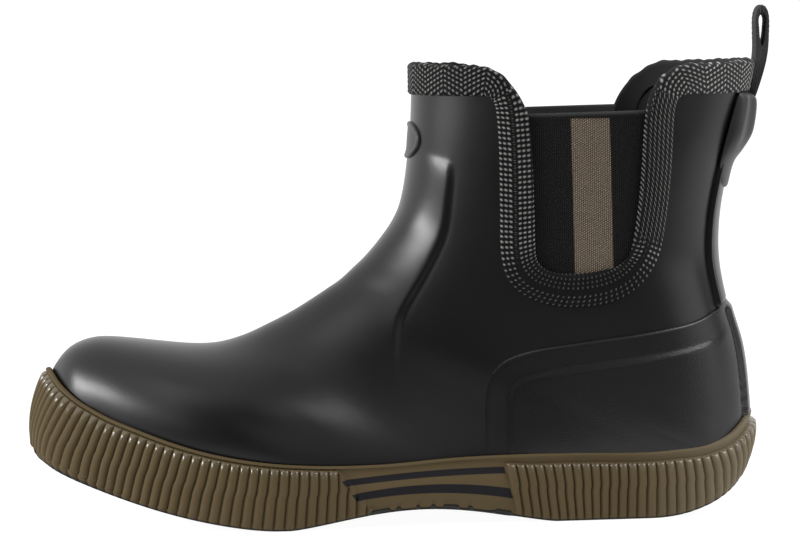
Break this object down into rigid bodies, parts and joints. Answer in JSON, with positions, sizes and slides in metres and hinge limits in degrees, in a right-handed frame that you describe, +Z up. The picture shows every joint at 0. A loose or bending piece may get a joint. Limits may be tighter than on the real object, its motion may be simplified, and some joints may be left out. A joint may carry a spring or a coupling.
{
  "type": "rubber ankle boot",
  "caption": "Pull-on rubber ankle boot for the left foot, with elastic side panels, a woven collar tape, a heel loop and a ribbed cup sole.",
  "frame": {"origin": "centre of the boot's plan box, on the floor", "axes": "+X to the toe, +Y to the wearer's left, the outer side, +Z up"},
  "size_m": [0.2879, 0.1015, 0.1942],
  "materials": {
    "black_rubber": "satin black rubber",
    "brown_rubber": "matte dark brown rubber",
    "grey_felt": "dark grey felt",
    "black_webbing": "black woven tape",
    "black_elastic": "black knitted elastic"
  },
  "bodies": {
    "root": {"outsole": "brown_rubber", "upper": "black_rubber", "insole": "grey_felt", "gore_lateral": "black_elastic", "gore_medial": "black_elastic", "collar_binding": "black_webbing", "heel_counter": "black_rubber", "back_strap": "black_rubber", "heel_tab": "black_rubber", "pull_loop": "black_webbing", "front_button": "black_rubber"}
  },
  "joints": []
}
